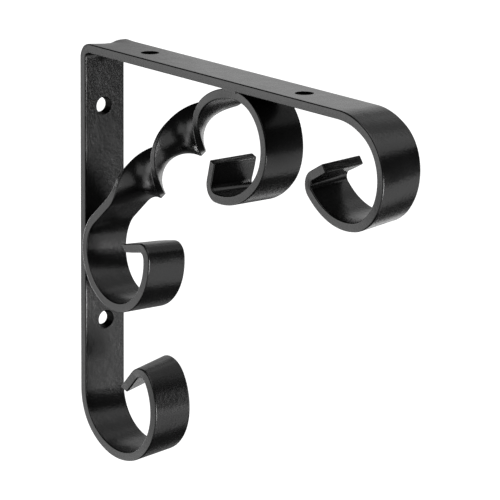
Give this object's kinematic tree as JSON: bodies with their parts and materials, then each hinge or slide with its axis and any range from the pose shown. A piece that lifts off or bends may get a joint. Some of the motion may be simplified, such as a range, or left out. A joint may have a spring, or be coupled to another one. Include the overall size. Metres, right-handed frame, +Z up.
{
  "type": "scroll bracket",
  "caption": "Shelf bracket of bent flat steel bar: an angle with scrolled ends and a twisted scroll brace, screwed to a wall.",
  "frame": {"origin": "back face of the leg, on the bar's middle line, midway between the two wall holes", "axes": "+X out from the wall along the arm, +Z up along the leg, -Y the front edge of the bars"},
  "size_m": [0.1707, 0.0201, 0.1407],
  "materials": {
    "bar_coating": "satin black powder coat with a fine grain"
  },
  "bodies": {
    "root": {"angle_bar": "bar_coating", "twisted_brace": "bar_coating"}
  },
  "joints": []
}
